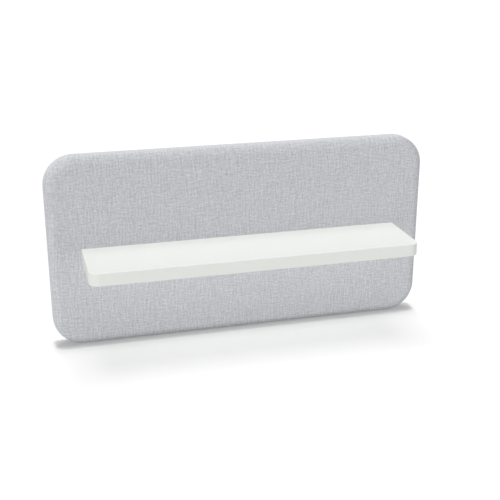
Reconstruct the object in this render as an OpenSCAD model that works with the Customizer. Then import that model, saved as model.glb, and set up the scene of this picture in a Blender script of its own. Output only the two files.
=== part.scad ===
// Acoustic wall panel with a shelf, in millimetres.
// A doweled wooden frame with rounded corner blocks holds two absorber slabs. A soft pad lies over
// its front, and a woven cloth is pulled round it all and turned in at the back. The shelf slides
// on steel rods that stand out of a plate let into the cross rail. A hooked rail on the back hangs
// over a matching rail on the wall.
// X runs along the panel, Y goes into the wall and Z is up. The origin is on the wall, in the middle
// of the wall rail's row of screw holes.

/* [Panel] */
// Width of the covered panel
panel_w = 800; // [720:10:1200]
// Height of the covered panel
panel_h = 400; // [340:10:600]
// Radius of the panel's corners, seen from the front
corner_r = 62; // [40:1:80]
// Radius of the soft edge round the front face
edge_r = 18; // [8:1:24]
// Radius of the edge round the back
back_r = 3; // [2:0.5:6]

/* [Cloth and pad] */
// Thickness of the woven cloth and of the back lining
cloth_t = 1.2; // [0.8:0.1:1.6]
// Straight side of the pad behind its rounded edge
pad_land = 0.8; // [0.4:0.1:4]
// Width of the cloth that is turned in at the back
turn_w = 20; // [12:1:24]
// Space between the turned-in cloth and the lining
lining_play = 0.4; // [0.2:0.1:1]

/* [Frame] */
// Depth of every frame member, front to back
frame_d = 20; // [18:1:28]
// Face width of the rails and stiles
frame_w = 50; // [44:1:58]
// Straight side of a corner block beyond its round
block_land = 20; // [12:1:40]
// Face width of the cross rail behind the shelf
cross_w = 80; // [72:1:100]
// Diameter of the wooden dowels
dowel_d = 8; // [6:1:10]
// Length of the wooden dowels
dowel_l = 40; // [30:1:50]
// Distance between the two dowels of a joint
dowel_pitch = 24; // [18:1:30]
// Depth left free behind each end of a dowel
dowel_end_play = 0.5; // [0.2:0.1:2]
// Space between an absorber slab and the wood round it
slab_play = 0.4; // [0.2:0.1:0.8]

/* [Shelf] */
// Length of the shelf
shelf_w = 670; // [600:5:700]
// Depth of the shelf, from the cloth to its front edge
shelf_d = 148; // [130:1:220]
// Thickness of the shelf with its laminates
shelf_t = 25; // [22:1:38]
// Radius of the shelf's two front corners, seen from above
shelf_r = 20; // [8:1:40]
// Thickness of the laminate on each face
laminate_t = 0.8; // [0.5:0.1:1.2]
// Thickness of the band round the ends and the front edge
band_t = 1.0; // [0.8:0.1:2]

/* [Shelf support] */
// Height of the steel plate
plate_h = 56; // [48:1:66]
// Thickness of the steel plate
plate_t = 4; // [3:0.5:6]
// Length of plate beyond the outer rods
plate_end = 40; // [32:1:50]
// Distance from the plate's long edges to its screws
plate_edge = 12; // [10:1:16]
// Diameter of the rods
rod_d = 12; // [8:1:14]
// Distance between neighbouring rods
rod_pitch = 240; // [180:5:270]
// Length of rod inside the shelf
rod_reach = 100; // [70:1:120]
// Depth left free behind the end of each rod
rod_end_play = 2; // [1:0.5:5]
// Diameter of the locking screws
lock_d = 6; // [4:1:6]
// Diameter of the threaded inserts that hold the locking screws
insert_d = 10; // [8:0.5:12]
// Distance from the shelf's back edge to the locking screws
lock_back = 30; // [20:1:60]
// Recess of the locking screws in the shelf's underside
lock_recess = 0.6; // [0.3:0.1:1]

/* [Hanging rails] */
// Length of the wall rail and of the panel rail
rail_l = 600; // [560:10:640]
// Wall thickness of the rails
rail_t = 3; // [2.5:0.5:4]
// Height of the screwed flange of each rail
rail_h = 26; // [22:1:32]
// Length of the hooked lip of each rail
hook_l = 9; // [6:1:14]
// Free height under the panel rail's lip
hook_play = 1.5; // [1:0.5:3]
// Bevel on the tips of the lips
hook_bevel = 0.6; // [0.3:0.1:1]
// Free space on each side of a lip
rail_play = 0.3; // [0.2:0.1:0.6]
// Number of screw holes in each rail
rail_holes = 4; // [2:1:5]
// Distance from a rail's ends to its outer screw holes
hole_end = 45; // [20:5:60]
// Diameter of the wall rail's screw holes
wall_hole_d = 5.5; // [4.5:0.5:6]

/* [Buffers] */
// Diameter of the rubber buffers at the panel's foot
buffer_d = 24; // [16:1:30]
// Distance from the panel's edges to the middle of each buffer
buffer_in = 46; // [40:1:60]
// Bevel round the buffers' wall face
buffer_bevel = 1.5; // [0.5:0.5:3]

/* [Wood screws] */
// Diameter of the screws' shanks
screw_d = 4; // [3.5:0.5:5]
// Diameter of the countersunk heads
head_d = 8; // [7:0.5:9]
// Length of the screws
screw_l = 16; // [12:1:18]
// Width of the six-sided sockets
socket_w = 3; // [2:0.5:3.5]

/* [Fits] */
// Space all round a dowel, a screw shank or an insert in its bore
bore_play = 0.05; // [0.02:0.01:0.1]
// Space all round a rod in the shelf and in the pad
rod_play = 0.1; // [0.05:0.05:0.3]
// Space round the plate in its pocket
plate_play = 0.2; // [0.1:0.1:0.5]

/* [Hidden] */
$fn = 72;

// Overrun of every cut past the face it opens
over = 1;
// Bevel at the ends of dowels and rods
end_bevel = 1;
// Height of the screws' pointed tips
tip_l = 4;
// Sides of a screw socket
socket_sides = 6;
// Depth of a screw socket, as a share of its width
socket_depth_share = 0.6;
// Radius of the edge band's arrises, as a share of its thickness
arris_share = 0.8;

// Depth of the soft pad, of the whole panel, and of the space behind it
pad_d = edge_r - cloth_t + pad_land;
panel_d = cloth_t + frame_d + pad_d + cloth_t;
wall_gap = 2 * rail_t + 3 * rail_play;

// Hanging: heights of the rails above the row of wall holes
web_z = rail_h / 2;
seat_z = web_z + rail_t + hook_play + hook_l;
panel_hole_z = seat_z + rail_t + rail_h / 2;
lip_back = rail_t + 2 * rail_play;
lip_front = lip_back + rail_t;

// The panel's back plane and the height of its middle
back_y = -wall_gap;
mid_z = panel_hole_z + frame_w / 2 + cloth_t - panel_h / 2;

// The space inside the cloth
in_w = panel_w - 2 * cloth_t;
in_h = panel_h - 2 * cloth_t;
in_r = corner_r - cloth_t;
block_s = in_r + block_land;
frame_front = cloth_t + frame_d;
frame_mid = cloth_t + frame_d / 2;

// Heads of the wood screws, cut at 90 degrees
head_l = (head_d - screw_d) / 2;

// Space between the shelf's underside and its rods, and the inserts in it
lock_l = shelf_t / 2 - rod_d / 2;
insert_l = lock_l - lock_recess;

// Radius of the edge band's arrises
arris_r = band_t * arris_share;

// Places of the screws, rods and dowel joints
rod_xs = [-rod_pitch, 0, rod_pitch];
plate_w = 2 * (rod_pitch + plate_end);
plate_screw_x = rod_pitch + plate_end / 2;
plate_screw_xs = [-plate_screw_x, -rod_pitch / 2, rod_pitch / 2, plate_screw_x];
plate_screw_y = plate_h / 2 - plate_edge;
hole_pitch = (rail_l - 2 * hole_end) / (rail_holes - 1);
rail_hole_xs = [for (i = [0 : rail_holes - 1]) hole_end - rail_l / 2 + i * hole_pitch];
block_x = in_w / 2 - block_s;
block_y = in_h / 2 - block_s;
rail_y = in_h / 2 - frame_w / 2;
stile_x = in_w / 2 - frame_w / 2;
cross_x = in_w / 2 - frame_w;

// Colours
cloth_grey = [0.75, 0.75, 0.765];
lining_grey = [0.3, 0.3, 0.31];
pad_white = [0.93, 0.93, 0.9];
absorber_green = [0.62, 0.64, 0.5];
pine = [0.85, 0.7, 0.48];
beech = [0.8, 0.62, 0.42];
laminate_white = [0.94, 0.945, 0.935];
board_brown = [0.72, 0.6, 0.45];
aluminium = [0.78, 0.79, 0.8];
steel_grey = [0.45, 0.46, 0.48];
zinc = [0.7, 0.71, 0.72];
brass = [0.8, 0.65, 0.3];
rubber_black = [0.12, 0.12, 0.12];

// Places its children on the panel's back: x along, y up from the panel's middle, z to the front
module on_panel() {
    translate([0, back_y, mid_z]) rotate([90, 0, 0]) children();
}

// Rectangle about the origin with four round corners
module round_rect(w, h, r) {
    square([w - 2 * r, h], center = true);
    square([w, h - 2 * r], center = true);
    for (sx = [-1, 1], sy = [-1, 1])
        translate([sx * (w / 2 - r), sy * (h / 2 - r)]) circle(r);
}

// Section of a soft edge: a strip whose outer front corner is round
module edge_section(strip, depth, r) {
    square([strip, depth - r]);
    square([strip - r, depth]);
    intersection() {
        translate([strip - r, depth - r]) circle(r);
        square([strip, depth]);
    }
}

// Slab with round corners in plan and a round edge to its front face
module pillow(w, h, depth, r, edge) {
    flat_w = w - 2 * r;
    flat_h = h - 2 * r;
    translate([-flat_w / 2, -flat_h / 2, 0]) cube([flat_w, flat_h, depth]);
    for (turn = [0, 180]) rotate([0, 0, turn]) {
        translate([flat_w / 2, flat_h / 2, 0])
            rotate([90, 0, 0]) linear_extrude(flat_h) edge_section(r, depth, edge);
        translate([-flat_w / 2, flat_h / 2, 0])
            rotate([90, 0, 90]) linear_extrude(flat_w) edge_section(r, depth, edge);
        translate([flat_w / 2, flat_h / 2, 0])
            rotate_extrude(angle = 90) edge_section(r, depth, edge);
        translate([-flat_w / 2, flat_h / 2, 0])
            rotate([0, 0, 90]) rotate_extrude(angle = 90) edge_section(r, depth, edge);
    }
}

// The panel from the frame's front face forward, less an inset all round
module front_form(inset) {
    translate([0, 0, frame_front])
        pillow(panel_w - 2 * inset, panel_h - 2 * inset, pad_d + cloth_t - inset,
            corner_r - inset, edge_r - inset);
}

// The panel behind the frame's front face, less an inset all round
module back_form(inset) {
    translate([0, 0, frame_front]) mirror([0, 0, 1])
        pillow(panel_w - 2 * inset, panel_h - 2 * inset, frame_front - inset,
            corner_r - inset, back_r - inset);
}

// The whole panel, less an inset all round
module panel_form(inset) {
    front_form(inset);
    back_form(inset);
}

// Straight pin along z with bevelled ends
module bevelled_pin(l, r, bevel) {
    rotate_extrude() polygon([[0, 0], [r - bevel, 0], [r, bevel], [r, l - bevel], [r - bevel, l], [0, l]]);
}

// Countersunk wood screw that points down z, its head's face at the origin
module wood_screw() {
    difference() {
        rotate_extrude() polygon([
            [0, 0], [head_d / 2, 0], [screw_d / 2, -head_l],
            [screw_d / 2, tip_l - screw_l], [0, -screw_l]
        ]);
        translate([0, 0, -socket_w * socket_depth_share])
            cylinder(d = socket_w, h = socket_w, $fn = socket_sides);
    }
}

// The space that a wood screw needs, and its countersink
module screw_space() {
    translate([0, 0, -screw_l - bore_play]) cylinder(d = screw_d + 2 * bore_play, h = screw_l + over);
    translate([0, 0, -head_l - bore_play])
        cylinder(d1 = screw_d, d2 = head_d + 2 * bore_play, h = head_l + bore_play);
    cylinder(d = head_d + 2 * bore_play, h = over);
}

// Hanging

module wall_rail() {
    color(aluminium) difference() {
        rotate([90, 0, 90]) translate([0, 0, -rail_l / 2]) linear_extrude(rail_l) polygon([
            [0, -rail_h / 2], [0, web_z + rail_t], [-lip_back, web_z + rail_t],
            [-lip_back, seat_z - hook_bevel], [-lip_back - hook_bevel, seat_z],
            [-lip_front + hook_bevel, seat_z], [-lip_front, seat_z - hook_bevel],
            [-lip_front, web_z], [-rail_t, web_z], [-rail_t, -rail_h / 2]
        ]);
        for (x = rail_hole_xs)
            translate([x, over, 0]) rotate([90, 0, 0]) cylinder(d = wall_hole_d, h = rail_t + 2 * over);
    }
}

// Puts its children at each hole of the panel rail, pointing to the front
module at_panel_rail_screws() {
    for (x = rail_hole_xs)
        translate([x, back_y + rail_t, panel_hole_z]) rotate([-90, 0, 0]) children();
}

module panel_rail() {
    lip_tip = seat_z - hook_l;
    color(aluminium) difference() {
        rotate([90, 0, 90]) translate([0, 0, -rail_l / 2]) linear_extrude(rail_l) polygon([
            [back_y, seat_z], [-rail_play - rail_t, seat_z],
            [-rail_play - rail_t, lip_tip + hook_bevel], [-rail_play - rail_t + hook_bevel, lip_tip],
            [-rail_play - hook_bevel, lip_tip], [-rail_play, lip_tip + hook_bevel],
            [-rail_play, seat_z + rail_t], [back_y + rail_t, seat_z + rail_t],
            [back_y + rail_t, seat_z + rail_t + rail_h], [back_y, seat_z + rail_t + rail_h]
        ]);
        at_panel_rail_screws() screw_space();
    }
}

module panel_rail_screws() {
    color(zinc) at_panel_rail_screws() wood_screw();
}

module wall_buffers() {
    color(rubber_black) on_panel() for (s = [-1, 1])
        translate([s * (panel_w / 2 - buffer_in), buffer_in - panel_h / 2, -wall_gap])
            rotate_extrude() polygon([
                [0, 0], [buffer_d / 2 - buffer_bevel, 0], [buffer_d / 2, buffer_bevel],
                [buffer_d / 2, wall_gap], [0, wall_gap]
            ]);
}

// Frame

// A pair of pins across a joint at x, y, that lie along x, or along y when upright
module pin_pair(x, y, upright, l, r) {
    for (s = [-1, 1])
        translate([x, y, frame_mid]) rotate([0, 0, upright ? 90 : 0])
            translate([-l / 2, s * dowel_pitch / 2, 0]) rotate([0, 90, 0]) bevelled_pin(l, r, end_bevel);
}

// Pins of every joint of the frame
module joint_pins(l, r) {
    for (sx = [-1, 1]) {
        pin_pair(sx * cross_x, 0, false, l, r);
        for (sy = [-1, 1]) {
            pin_pair(sx * block_x, sy * rail_y, false, l, r);
            pin_pair(sx * stile_x, sy * block_y, true, l, r);
        }
    }
}

module dowel_bores() {
    joint_pins(dowel_l + 2 * dowel_end_play, dowel_d / 2 + bore_play);
}

// The frame's outline between two corners of a rectangle, less the dowel bores and the children
module member(low, high) {
    difference() {
        intersection() {
            back_form(cloth_t);
            translate([low.x, low.y, 0]) cube([high.x - low.x, high.y - low.y, frame_front + over]);
        }
        dowel_bores();
        children();
    }
}

module frame_rail() {
    member([-block_x, in_h / 2 - frame_w], [block_x, in_h / 2 + over]);
}

module frame_stile() {
    member([in_w / 2 - frame_w, -block_y], [in_w / 2 + over, block_y]);
}

module frame_top_rail() {
    color(pine) difference() {
        on_panel() frame_rail();
        at_panel_rail_screws() screw_space();
    }
}

module frame_bottom_rail() {
    color(pine) on_panel() mirror([0, 1, 0]) frame_rail();
}

module frame_left_stile() {
    color(pine) on_panel() mirror([1, 0, 0]) frame_stile();
}

module frame_right_stile() {
    color(pine) on_panel() frame_stile();
}

// Square block with one round corner: the top right one, or its mirror image across x or y
module corner_block(across_x, across_y) {
    color(beech) on_panel() mirror([across_x ? 1 : 0, 0, 0]) mirror([0, across_y ? 1 : 0, 0])
        member([block_x, block_y], [in_w / 2 + over, in_h / 2 + over]);
}

module at_plate_screws() {
    for (x = plate_screw_xs, sy = [-1, 1])
        translate([x, sy * plate_screw_y, frame_front]) children();
}

module frame_cross_rail() {
    pocket_w = plate_w + 2 * plate_play;
    pocket_h = plate_h + 2 * plate_play;
    color(pine) on_panel() member([-cross_x, -cross_w / 2], [cross_x, cross_w / 2]) {
        translate([-pocket_w / 2, -pocket_h / 2, frame_front - plate_t])
            cube([pocket_w, pocket_h, plate_t + over]);
        at_plate_screws() screw_space();
    }
}

module frame_dowels() {
    color(beech) on_panel() joint_pins(dowel_l, dowel_d / 2);
}

// Absorber slab above the cross rail for sy = 1, below it for sy = -1
module absorber(sy) {
    low = cross_w / 2 + slab_play;
    high = in_h / 2 - frame_w - slab_play;
    half_w = cross_x - slab_play;
    color(absorber_green) on_panel() translate([0, 0, cloth_t]) linear_extrude(frame_d) difference() {
        translate([-half_w, sy > 0 ? low : -high]) square([2 * half_w, high - low]);
        for (sx = [-1, 1])
            translate([sx * (block_x + block_s / 2), sy * (block_y + block_s / 2)])
                square(block_s + 2 * slab_play, center = true);
    }
}

// Cover

module rod_holes() {
    hole_l = pad_d + cloth_t + 2 * over;
    for (x = rod_xs)
        translate([x, 0, frame_front - over]) cylinder(d = rod_d + 2 * rod_play, h = hole_l);
}

module front_pad() {
    color(pad_white) on_panel() difference() {
        front_form(cloth_t);
        rod_holes();
    }
}

module cloth_cover() {
    color(cloth_grey) on_panel() difference() {
        panel_form(0);
        panel_form(cloth_t);
        translate([0, 0, -over]) linear_extrude(cloth_t + 2 * over)
            round_rect(panel_w - 2 * turn_w, panel_h - 2 * turn_w, corner_r - turn_w);
        rod_holes();
    }
}

module back_lining() {
    inset = turn_w + lining_play;
    color(lining_grey) difference() {
        on_panel() linear_extrude(cloth_t)
            round_rect(panel_w - 2 * inset, panel_h - 2 * inset, corner_r - inset);
        at_panel_rail_screws() screw_space();
    }
}

// Shelf support

module at_rods() {
    for (x = rod_xs) translate([x, 0, frame_front - plate_t]) children();
}

module shelf_support_plate() {
    color(steel_grey) on_panel() difference() {
        translate([-plate_w / 2, -plate_h / 2, frame_front - plate_t]) cube([plate_w, plate_h, plate_t]);
        at_plate_screws() screw_space();
        at_rods() translate([0, 0, -over]) cylinder(d = rod_d + 2 * bore_play, h = plate_t + 2 * over);
    }
}

module shelf_plate_screws() {
    color(zinc) on_panel() at_plate_screws() wood_screw();
}

module shelf_support_rods() {
    color(steel_grey) on_panel() at_rods()
        bevelled_pin(plate_t + pad_d + cloth_t + rod_reach, rod_d / 2, end_bevel);
}

// Shelf

// Plan of the shelf less a margin at its ends and front: x along, y from the cloth to the front
module shelf_plan(margin) {
    half = shelf_w / 2 - margin;
    depth = shelf_d - margin;
    r = shelf_r - margin;
    translate([-half, 0]) square([2 * half, depth - r]);
    translate([r - half, 0]) square([2 * (half - r), depth]);
    for (s = [-1, 1]) translate([s * (half - r), depth - r]) circle(r);
}

// Board of the shelf's plan, from height z with thickness t over the shelf's middle
module shelf_board(margin, z, t) {
    translate([0, back_y - panel_d, mid_z + z]) rotate([180, 0, 0])
        translate([0, 0, -t]) linear_extrude(t) shelf_plan(margin);
}

// Puts its children under each rod on the shelf's underside, pointing up
module at_locks() {
    for (x = rod_xs) translate([x, back_y - panel_d - lock_back, mid_z - shelf_t / 2]) children();
}

module lock_holes() {
    at_locks() {
        translate([0, 0, -over]) cylinder(d = insert_d + 2 * bore_play, h = insert_l + over);
        cylinder(d = lock_d + 2 * bore_play, h = shelf_t / 2);
    }
}

module shelf_core() {
    color(board_brown) difference() {
        shelf_board(band_t, laminate_t - shelf_t / 2, shelf_t - 2 * laminate_t);
        on_panel() for (x = rod_xs)
            translate([x, 0, panel_d - over])
                cylinder(d = rod_d + 2 * rod_play, h = rod_reach + rod_end_play + over);
        lock_holes();
    }
}

module shelf_top_laminate() {
    color(laminate_white) shelf_board(band_t, shelf_t / 2 - laminate_t, laminate_t);
}

module shelf_bottom_laminate() {
    color(laminate_white) difference() {
        shelf_board(band_t, -shelf_t / 2, laminate_t);
        lock_holes();
    }
}

// Section of the edge band, its outer side to the right with two round arrises
module band_section() {
    square([band_t - arris_r, shelf_t]);
    translate([0, arris_r]) square([band_t, shelf_t - 2 * arris_r]);
    intersection() {
        square([band_t, shelf_t]);
        for (y = [arris_r, shelf_t - arris_r]) translate([band_t - arris_r, y]) circle(arris_r);
    }
}

module shelf_edge_band() {
    straight_x = shelf_w / 2 - shelf_r;
    straight_y = shelf_d - shelf_r;
    color(laminate_white) translate([0, back_y - panel_d, mid_z + shelf_t / 2]) rotate([180, 0, 0]) {
        translate([-straight_x, shelf_d - band_t, 0])
            rotate([90, 0, 90]) linear_extrude(2 * straight_x) band_section();
        for (turn = [0, 1]) mirror([turn, 0, 0]) {
            translate([straight_x, straight_y, 0])
                rotate_extrude(angle = 90) translate([shelf_r - band_t, 0]) band_section();
            translate([shelf_w / 2 - band_t, straight_y, 0])
                rotate([90, 0, 0]) linear_extrude(straight_y) band_section();
        }
    }
}

module shelf_lock_inserts() {
    color(brass) at_locks() difference() {
        cylinder(d = insert_d, h = insert_l);
        translate([0, 0, -over]) cylinder(d = lock_d + 2 * bore_play, h = insert_l + 2 * over);
    }
}

module shelf_lock_screws() {
    color(zinc) at_locks() translate([0, 0, lock_recess]) difference() {
        bevelled_pin(lock_l - lock_recess - rod_play, lock_d / 2, lock_recess);
        translate([0, 0, -over])
            cylinder(d = socket_w, h = over + socket_w * socket_depth_share, $fn = socket_sides);
    }
}

wall_rail();
panel_rail();
panel_rail_screws();
wall_buffers();
frame_top_rail();
frame_bottom_rail();
frame_left_stile();
frame_right_stile();
corner_block(true, false);  // corner_block_top_left
corner_block(false, false);  // corner_block_top_right
corner_block(true, true);  // corner_block_bottom_left
corner_block(false, true);  // corner_block_bottom_right
frame_cross_rail();
frame_dowels();
absorber(1);  // absorber_upper
absorber(-1);  // absorber_lower
front_pad();
cloth_cover();
back_lining();
shelf_support_plate();
shelf_plate_screws();
shelf_support_rods();
shelf_core();
shelf_top_laminate();
shelf_bottom_laminate();
shelf_edge_band();
shelf_lock_inserts();
shelf_lock_screws();
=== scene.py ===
"""Looks of the acoustic wall panel with its shelf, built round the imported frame. Metres."""

import math

import bpy
import numpy as np
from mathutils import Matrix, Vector, noise


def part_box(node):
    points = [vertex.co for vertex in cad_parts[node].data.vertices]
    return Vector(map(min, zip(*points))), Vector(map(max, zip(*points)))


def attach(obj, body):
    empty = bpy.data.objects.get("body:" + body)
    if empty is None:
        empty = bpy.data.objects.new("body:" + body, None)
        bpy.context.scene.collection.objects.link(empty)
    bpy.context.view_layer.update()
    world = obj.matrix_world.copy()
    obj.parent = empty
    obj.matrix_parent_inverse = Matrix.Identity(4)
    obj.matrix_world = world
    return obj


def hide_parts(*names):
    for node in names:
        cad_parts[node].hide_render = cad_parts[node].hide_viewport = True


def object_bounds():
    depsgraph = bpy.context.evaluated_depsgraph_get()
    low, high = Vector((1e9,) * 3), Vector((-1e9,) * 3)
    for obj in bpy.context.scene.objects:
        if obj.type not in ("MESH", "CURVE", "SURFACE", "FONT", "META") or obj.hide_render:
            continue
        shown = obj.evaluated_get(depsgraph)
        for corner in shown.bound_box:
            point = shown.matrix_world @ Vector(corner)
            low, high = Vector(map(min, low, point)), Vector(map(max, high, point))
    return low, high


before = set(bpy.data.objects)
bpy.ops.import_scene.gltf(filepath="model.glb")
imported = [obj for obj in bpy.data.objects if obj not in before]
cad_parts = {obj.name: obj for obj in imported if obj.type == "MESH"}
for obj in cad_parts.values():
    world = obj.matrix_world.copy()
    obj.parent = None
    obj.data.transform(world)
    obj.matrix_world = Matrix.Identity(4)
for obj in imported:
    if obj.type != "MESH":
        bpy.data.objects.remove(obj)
cad_low, cad_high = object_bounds()

# Camera, fitted to the outline of the panel and the shelf in the photograph
IMAGE_PX = 500
FOCAL_PX = 938.8
SENSOR_MM = 36
CAMERA_PITCH = math.radians(19.91)
CAMERA_YAW = math.radians(15.04)
CAMERA_PLACE = Vector((-0.4676, -1.8447, 0.5209))

# Sizes of the upholstered panel
CORNER_R = 0.062
EDGE_R = 0.018
BACK_R = 0.003
TURN_W = 0.020
CLOTH_T = 0.0012
LINING_IN = 0.0204
ROD_R = 0.006
RAIL_SCREW_HEAD = 0.008
COVER_LOW, COVER_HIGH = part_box("cloth_cover")
PAD_LOW, PAD_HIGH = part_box("front_pad")
RAIL_LOW, RAIL_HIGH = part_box("panel_rail")
RODS_LOW, RODS_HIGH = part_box("shelf_support_rods")
SCREWS_LOW, SCREWS_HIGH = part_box("panel_rail_screws")
PANEL_W = COVER_HIGH.x - COVER_LOW.x
PANEL_H = COVER_HIGH.z - COVER_LOW.z
MID_Z = (COVER_LOW.z + COVER_HIGH.z) / 2
FRONT_Y = COVER_LOW.y
BACK_Y = COVER_HIGH.y
PANEL_D = BACK_Y - FRONT_Y
FLOOR_Z = cad_low.z

# Places of the rods and of the rail's screws, as x and z
ROD_Z = (RODS_LOW.z + RODS_HIGH.z) / 2
ROD_PLACES = [(x, ROD_Z) for x in (RODS_LOW.x + ROD_R, 0, RODS_HIGH.x - ROD_R)]
SCREW_Z = (SCREWS_LOW.z + SCREWS_HIGH.z) / 2
SCREW_X = (SCREWS_HIGH.x - SCREWS_LOW.x - RAIL_SCREW_HEAD) / 2
SCREW_PLACES = [(x, SCREW_Z) for x in (-SCREW_X, -SCREW_X / 3, SCREW_X / 3, SCREW_X)]

# How the soft pieces lie: how far they give, what stretching leaves of the cloth's thickness,
# the lining, the slabs, and how far apart the rings stand beside a round edge
SOFT_GIVE = 0.0002
STRETCHED = 0.9
LINING_T = 0.0004
LINING_GIVE = 0.00008
SLAB_PLAY = 0.0004
SLAB_EDGE_R = 0.0012
RIM_STEP = 0.003

# The lining's folded edge and hem: how far in from the edge, and how deep below the frame's back
HEM_W = 0.009
HEM_STEPS = [
    (0, 0.0007), (0.0002, 0.0003), (0.0007, 0.0001), (0.003, 0.0001), (0.0055, 0.0001),
    (HEM_W - 0.0006, 0.0001), (HEM_W, 0.0003), (HEM_W + 0.0006, 0.0005),
]

# The turned-in cloth: pleats in a corner, the share of the surplus length that gathers, the share
# of a pleat that a staple holds at either side, and how far the cut edge draws back between
# the staples and by chance
PLEATS = 8
GATHER = 0.5
STAPLE_HOLD = 0.12
DRAWN = 0.0006
DRAWN_UNEVEN = 0.0005

# Its simulation, which runs at ten times the size
SIM_SCALE = 10
SIM_FRAMES = 20
SIM_GAP = 0.004

# Holes through the soft pieces
BORE_PLAY = 0.0001
BORE_PAST = 0.002
RAIL_SCREW_BORE_R = 0.0021
HOLE_STEPS = 32

# Staples: crown, leg, bend, wire's width, thickness and round edge
STAPLE_CROWN = 0.010
STAPLE_LEG = 0.006
STAPLE_BEND = 0.0008
STAPLE_W = 0.0012
STAPLE_T = 0.0006
STAPLE_RIM = 0.00015

# Where they stand: in from the panel's edge, how far apart, how far they tilt, and clear of the rail
STAPLE_IN = 0.010
STAPLE_PITCH = 0.030
STAPLE_TILT = 0.12
LINING_STAPLE_IN = LINING_IN + 0.0045
LINING_STAPLE_PITCH = 0.055
LINING_STAPLE_TILT = 0.2
LINING_STAPLE_LIFT = -0.0001
RAIL_CLEAR = 0.008

# Steps of the panel's meshes: round a corner, along the sides, over the front edge and at the back
CORNER_STEPS = 88
LONG_STEPS = 56
SHORT_STEPS = 24
EDGE_STEPS = 12
PAD_EDGE_STEPS = 8
BACK_EDGE_STEPS = 5
TURN_STEPS = 14

# Angles over which an edge stays crisp, for CAD pieces and for slabs
CRISP = math.radians(25)
SLAB_CRISP = math.radians(40)

# The floor reaches past what the camera sees. The object is lit by the pale one. The camera sees
# the catcher, which takes the shadow, and the glow on top of it
FLOOR_SIDE = 9
FLOOR_FRONT = -9
FLOOR_BACK = 14
FLOOR_PALE = 0.62
FLOOR_CATCHER = 0.5
FLOOR_GLOW = 0.28

# How strongly the white sky lights
SKY = 0.282


def linear(colour):
    """An sRGB colour from 0 to 255 as the linear RGBA that a shader takes."""
    parts = [c / 255 for c in colour]
    return [c / 12.92 if c <= 0.04045 else ((c + 0.055) / 1.055) ** 2.4 for c in parts] + [1.0]


# Camera and light

def make_camera():
    """The photograph's camera."""
    data = bpy.data.cameras.new("camera")
    data.sensor_width = SENSOR_MM
    data.lens = SENSOR_MM * FOCAL_PX / IMAGE_PX
    camera = bpy.data.objects.new("camera", data)
    camera.location = CAMERA_PLACE
    ahead = Vector((
        math.sin(CAMERA_YAW) * math.cos(CAMERA_PITCH),
        math.cos(CAMERA_YAW) * math.cos(CAMERA_PITCH),
        -math.sin(CAMERA_PITCH),
    ))
    camera.rotation_euler = ahead.to_track_quat("-Z", "Y").to_euler()
    bpy.context.scene.collection.objects.link(camera)
    bpy.context.scene.camera = camera


def lamp_group(name, state, *objects):
    """Objects that a lamp leaves out (EXCLUDE), or the only ones that it counts (INCLUDE)."""
    group = bpy.data.collections.new(name)
    for thing in objects:
        group.objects.link(thing)
    for entry in group.collection_objects:
        entry.light_linking.link_state = state
    return group


def make_lamp(name, azimuth, elevation, share, spread, lights, shadows):
    """A soft sun. Azimuth 0 shines from the front and 90 from the right. A white surface square
    to it shows share. The groups say what it lights and what casts its shadows."""
    data = bpy.data.lights.new(name, "SUN")
    data.energy = share * math.pi
    data.angle = math.radians(spread)
    lamp = bpy.data.objects.new(name, data)
    a, e = math.radians(azimuth), math.radians(elevation)
    back = Vector((math.sin(a) * math.cos(e), -math.cos(a) * math.cos(e), math.sin(e)))
    lamp.rotation_euler = back.to_track_quat("Z", "Y").to_euler()
    lamp.light_linking.receiver_collection = lights
    lamp.light_linking.blocker_collection = shadows
    bpy.context.scene.collection.objects.link(lamp)


# Node trees

def join(tree, socket, value):
    """Links a socket to another one, or gives it a value."""
    if isinstance(value, bpy.types.NodeSocket):
        tree.links.new(value, socket)
    else:
        socket.default_value = value


def node(tree, kind, inputs=None, **settings):
    """A new shader node. Inputs go by name or number, and take a socket or a value."""
    made = tree.nodes.new("ShaderNode" + kind)
    for key, value in settings.items():
        setattr(made, key, value)
    for key, value in (inputs or {}).items():
        join(tree, made.inputs[key], value)
    return made


def calc(tree, operation, *values):
    """A sum or another operation on values."""
    return node(tree, "Math", dict(enumerate(values)), operation=operation).outputs[0]


def weighted(tree, first, first_share, second, second_share):
    """The sum of two values, each times its share."""
    return calc(
        tree, "ADD",
        calc(tree, "MULTIPLY", first, first_share),
        calc(tree, "MULTIPLY", second, second_share),
    )


def vector(tree, x, y, z=0.0):
    return node(tree, "CombineXYZ", {0: x, 1: y, 2: z}).outputs[0]


def scaled(tree, place, factors):
    """A place stretched or squeezed along each axis."""
    made = node(tree, "VectorMath", {0: place}, operation="MULTIPLY")
    made.inputs[1].default_value = factors
    return made.outputs[0]


def noise_value(tree, place, scale, detail=2.0, roughness=0.5):
    return node(
        tree, "TexNoise",
        {"Vector": place, "Scale": scale, "Detail": detail, "Roughness": roughness},
    ).outputs["Fac"]


def ramp(tree, value, *stops):
    """A colour ramp over value. Each stop is a place from 0 to 1 and an sRGB colour."""
    made = node(tree, "ValToRGB", {"Fac": value})
    elements = made.color_ramp.elements
    while len(elements) < len(stops):
        elements.new(0.5)
    for element, (place, colour) in zip(elements, stops):
        element.position = place
        element.color = linear(colour)
    return made.outputs["Color"]


def remap(tree, value, low, high, to_low, to_high):
    """A value from low to high, moved to the range from to_low to to_high and held in it."""
    return node(
        tree, "MapRange",
        {"Value": value, "From Min": low, "From Max": high, "To Min": to_low, "To Max": to_high},
    ).outputs["Result"]


def mix(tree, share, a, b):
    """From the colour a at share 0 to the colour b at share 1."""
    made = node(tree, "Mix", {"Factor": share}, data_type="RGBA", blend_type="MIX")
    join(tree, made.inputs["A"], a)
    join(tree, made.inputs["B"], b)
    return made.outputs["Result"]


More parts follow.
